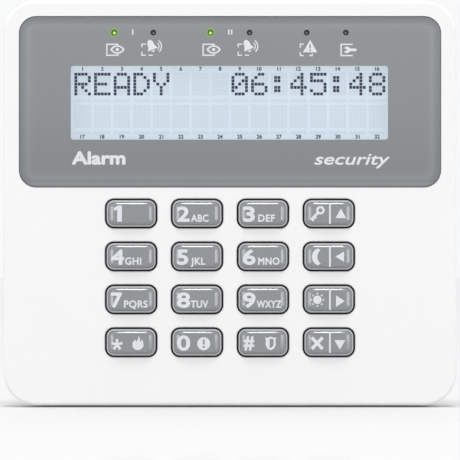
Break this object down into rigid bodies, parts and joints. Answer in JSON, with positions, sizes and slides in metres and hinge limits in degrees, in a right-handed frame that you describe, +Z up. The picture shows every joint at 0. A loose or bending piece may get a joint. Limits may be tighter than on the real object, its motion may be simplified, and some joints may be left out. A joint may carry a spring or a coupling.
{
  "type": "alarm keypad",
  "caption": "Wall-mounted alarm keypad: two-line character display behind a glossy window, row of indicators, sprung push keys, hinge-open front with board, wall base with cable entry.",
  "frame": {"origin": "centre of the flat face that lies on the wall", "axes": "+X to the right as a person facing the keypad sees it, +Y into the wall, +Z up; the keys face -Y"},
  "size_m": [0.139, 0.022, 0.124],
  "materials": {
    "housing_white": "fine satin ABS moulding",
    "panel_grey": "glossy acrylic, grey behind the surface",
    "key_grey": "glossy clear cap over grey",
    "silicone": "translucent grey silicone",
    "display_glass": "display cell with polariser",
    "nylon_white": "moulded nylon",
    "plated_steel": "bright plating",
    "circuit_board": "green solder resist",
    "component_black": "moulded epoxy",
    "led_lens": "clear epoxy lens"
  },
  "bodies": {
    "wall_base": {"back_base": "housing_white", "latch_1": "housing_white", "latch_2": "housing_white"},
    "front": {"front_cover": "housing_white", "window_panel": "panel_grey", "lcd_bezel": "plated_steel", "lcd_glass": "display_glass", "lcd_backlight": "nylon_white", "lcd_board": "circuit_board", "lcd_connector": "component_black", "main_board": "circuit_board", "keypad_mat": "silicone", "terminal_block": "component_black", "tamper_switch": "component_black", "buzzer": "component_black", "capacitor": "plated_steel", "crystal": "plated_steel", "microcontroller": "component_black", "voltage_regulator": "component_black", "service_header": "nylon_white", "board_screw_1": "plated_steel", "board_screw_2": "plated_steel", "board_screw_3": "plated_steel", "board_screw_4": "plated_steel", "board_screw_5": "plated_steel", "board_screw_6": "plated_steel", "terminal_screw_1": "plated_steel", "terminal_screw_2": "plated_steel", "terminal_screw_3": "plated_steel", "terminal_screw_4": "plated_steel", "led_armed_1": "led_lens", "led_alarm_1": "led_lens", "led_armed_2": "led_lens", "led_alarm_2": "led_lens", "led_trouble": "led_lens", "led_service": "led_lens"},
    "tamper_lever": {"tamper_lever": "plated_steel"},
    "key_1_cap": {"key_1": "key_grey"},
    "key_2_cap": {"key_2": "key_grey"},
    "key_3_cap": {"key_3": "key_grey"},
    "key_up_cap": {"key_up": "key_grey"},
    "key_4_cap": {"key_4": "key_grey"},
    "key_5_cap": {"key_5": "key_grey"},
    "key_6_cap": {"key_6": "key_grey"},
    "key_left_cap": {"key_left": "key_grey"},
    "key_7_cap": {"key_7": "key_grey"},
    "key_8_cap": {"key_8": "key_grey"},
    "key_9_cap": {"key_9": "key_grey"},
    "key_right_cap": {"key_right": "key_grey"},
    "key_star_cap": {"key_star": "key_grey"},
    "key_0_cap": {"key_0": "key_grey"},
    "key_hash_cap": {"key_hash": "key_grey"},
    "key_down_cap": {"key_down": "key_grey"}
  },
  "joints": [
    {"name": "cover_tilt", "type": "hinge", "parent": "wall_base", "child": "front", "pos_m": [0, -0.007, 0.062], "axis": [-1, 0, 0], "range_deg": [0, 70], "deforming": ["latch_1", "latch_2"]},
    {"name": "tamper_lever_turn", "type": "hinge", "parent": "front", "child": "tamper_lever", "pos_m": [-0.042, -0.0055, 0.0045], "axis": [-1, 0, 0], "range_deg": [0, 3.5], "stiffness_Nm_per_rad": 0.005},
    {"name": "key_1_press", "type": "slide", "parent": "front", "child": "key_1_cap", "axis": [0, 1, 0], "range_m": [0, 0.0012], "stiffness_N_per_m": 900, "deforming": ["keypad_mat"]},
    {"name": "key_2_press", "type": "slide", "parent": "front", "child": "key_2_cap", "axis": [0, 1, 0], "range_m": [0, 0.0012], "stiffness_N_per_m": 900, "deforming": ["keypad_mat"]},
    {"name": "key_3_press", "type": "slide", "parent": "front", "child": "key_3_cap", "axis": [0, 1, 0], "range_m": [0, 0.0012], "stiffness_N_per_m": 900, "deforming": ["keypad_mat"]},
    {"name": "key_up_press", "type": "slide", "parent": "front", "child": "key_up_cap", "axis": [0, 1, 0], "range_m": [0, 0.0012], "stiffness_N_per_m": 900, "deforming": ["keypad_mat"]},
    {"name": "key_4_press", "type": "slide", "parent": "front", "child": "key_4_cap", "axis": [0, 1, 0], "range_m": [0, 0.0012], "stiffness_N_per_m": 900, "deforming": ["keypad_mat"]},
    {"name": "key_5_press", "type": "slide", "parent": "front", "child": "key_5_cap", "axis": [0, 1, 0], "range_m": [0, 0.0012], "stiffness_N_per_m": 900, "deforming": ["keypad_mat"]},
    {"name": "key_6_press", "type": "slide", "parent": "front", "child": "key_6_cap", "axis": [0, 1, 0], "range_m": [0, 0.0012], "stiffness_N_per_m": 900, "deforming": ["keypad_mat"]},
    {"name": "key_left_press", "type": "slide", "parent": "front", "child": "key_left_cap", "axis": [0, 1, 0], "range_m": [0, 0.0012], "stiffness_N_per_m": 900, "deforming": ["keypad_mat"]},
    {"name": "key_7_press", "type": "slide", "parent": "front", "child": "key_7_cap", "axis": [0, 1, 0], "range_m": [0, 0.0012], "stiffness_N_per_m": 900, "deforming": ["keypad_mat"]},
    {"name": "key_8_press", "type": "slide", "parent": "front", "child": "key_8_cap", "axis": [0, 1, 0], "range_m": [0, 0.0012], "stiffness_N_per_m": 900, "deforming": ["keypad_mat"]},
    {"name": "key_9_press", "type": "slide", "parent": "front", "child": "key_9_cap", "axis": [0, 1, 0], "range_m": [0, 0.0012], "stiffness_N_per_m": 900, "deforming": ["keypad_mat"]},
    {"name": "key_right_press", "type": "slide", "parent": "front", "child": "key_right_cap", "axis": [0, 1, 0], "range_m": [0, 0.0012], "stiffness_N_per_m": 900, "deforming": ["keypad_mat"]},
    {"name": "key_star_press", "type": "slide", "parent": "front", "child": "key_star_cap", "axis": [0, 1, 0], "range_m": [0, 0.0012], "stiffness_N_per_m": 900, "deforming": ["keypad_mat"]},
    {"name": "key_0_press", "type": "slide", "parent": "front", "child": "key_0_cap", "axis": [0, 1, 0], "range_m": [0, 0.0012], "stiffness_N_per_m": 900, "deforming": ["keypad_mat"]},
    {"name": "key_hash_press", "type": "slide", "parent": "front", "child": "key_hash_cap", "axis": [0, 1, 0], "range_m": [0, 0.0012], "stiffness_N_per_m": 900, "deforming": ["keypad_mat"]},
    {"name": "key_down_press", "type": "slide", "parent": "front", "child": "key_down_cap", "axis": [0, 1, 0], "range_m": [0, 0.0012], "stiffness_N_per_m": 900, "deforming": ["keypad_mat"]}
  ]
}
